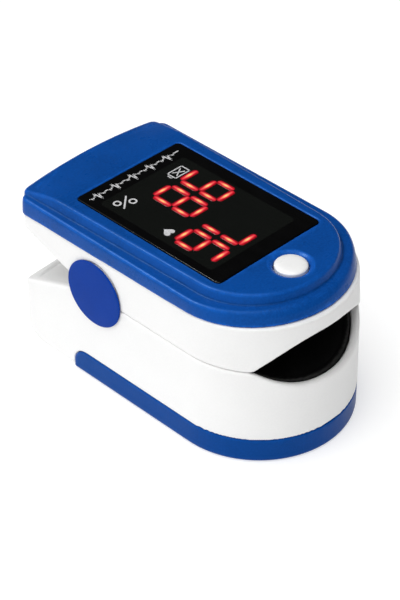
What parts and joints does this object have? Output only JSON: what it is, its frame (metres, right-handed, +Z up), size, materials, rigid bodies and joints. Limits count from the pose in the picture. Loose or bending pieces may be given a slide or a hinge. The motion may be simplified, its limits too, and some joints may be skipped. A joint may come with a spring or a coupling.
{
  "type": "fingertip pulse oximeter",
  "caption": "Fingertip pulse oximeter: two sprung white jaws with black finger pads, a blue top cover with a dark display and a button, and a sliding blue battery cover.",
  "frame": {"origin": "middle of the bounding box in plan, on the plane that the device rests on", "axes": "+Z up through the display, +Y towards the thumb tails, -Y towards the finger opening, X along the hinge pin"},
  "size_m": [0.0364, 0.0609, 0.0335],
  "materials": {
    "white_plastic": "smooth satin, clean white",
    "blue_plastic": "fine satin texture, deep blue",
    "cap_blue": "smooth, deep blue",
    "black_plastic": "matte",
    "black_acrylic": "polished, see-through only where lit",
    "black_silicone": "soft matte",
    "clear_red": "clear, red tinted",
    "chip_black": "moulded epoxy",
    "emitter_amber": "cast resin",
    "board_green": "solder mask",
    "cell_label": "printed sleeve",
    "spring_steel": "nickel plated",
    "screw_steel": "black zinc",
    "pin_steel": "ground",
    "metal_can": "stamped",
    "flex_amber": "polyimide film"
  },
  "bodies": {
    "lower_jaw": {"lower_shell": "white_plastic", "lower_frame": "black_plastic", "lower_finger_pad": "black_silicone", "sensor_window": "clear_red", "photodiode": "chip_black", "sensor_board": "board_green", "battery_left": "cell_label", "battery_right": "cell_label", "contact_bridge": "spring_steel", "battery_spring_left": "spring_steel", "battery_spring_right": "spring_steel", "frame_screw_left": "screw_steel", "frame_screw_right": "screw_steel", "hinge_pin": "pin_steel", "hinge_cap_left": "cap_blue", "hinge_cap_right": "cap_blue", "return_spring_left": "spring_steel", "return_spring_right": "spring_steel", "flex_cable": "flex_amber"},
    "battery_cover": {"battery_cover": "blue_plastic"},
    "upper_jaw": {"upper_shell": "white_plastic", "top_cover": "blue_plastic", "display_window": "black_acrylic", "main_board": "board_green", "pulse_display": "black_plastic", "spo2_display": "black_plastic", "microcontroller": "chip_black", "crystal": "metal_can", "tact_switch": "metal_can", "emitter_led": "emitter_amber", "emitter_window": "clear_red", "upper_finger_pad": "black_silicone", "board_screw_left": "screw_steel", "board_screw_right": "screw_steel", "cover_screw_left": "screw_steel", "cover_screw_right": "screw_steel"},
    "power_button": {"power_button": "white_plastic"}
  },
  "joints": [
    {"name": "jaw_hinge", "type": "hinge", "parent": "lower_jaw", "child": "upper_jaw", "pos_m": [0, 0.00925, 0.0209], "axis": [-1, 0, 0], "range_deg": [0, 20], "stiffness_Nm_per_rad": 0.18, "springref_deg": -16.04, "deforming": ["return_spring_left", "return_spring_right", "flex_cable"]},
    {"name": "button_press", "type": "slide", "parent": "upper_jaw", "child": "power_button", "axis": [0, 0, -1], "range_m": [0, 0.0004], "stiffness_N_per_m": 600, "springref_m": -0.0008},
    {"name": "battery_cover_slide", "type": "slide", "parent": "lower_jaw", "child": "battery_cover", "axis": [0, -1, 0], "range_m": [0, 0.0465]}
  ]
}
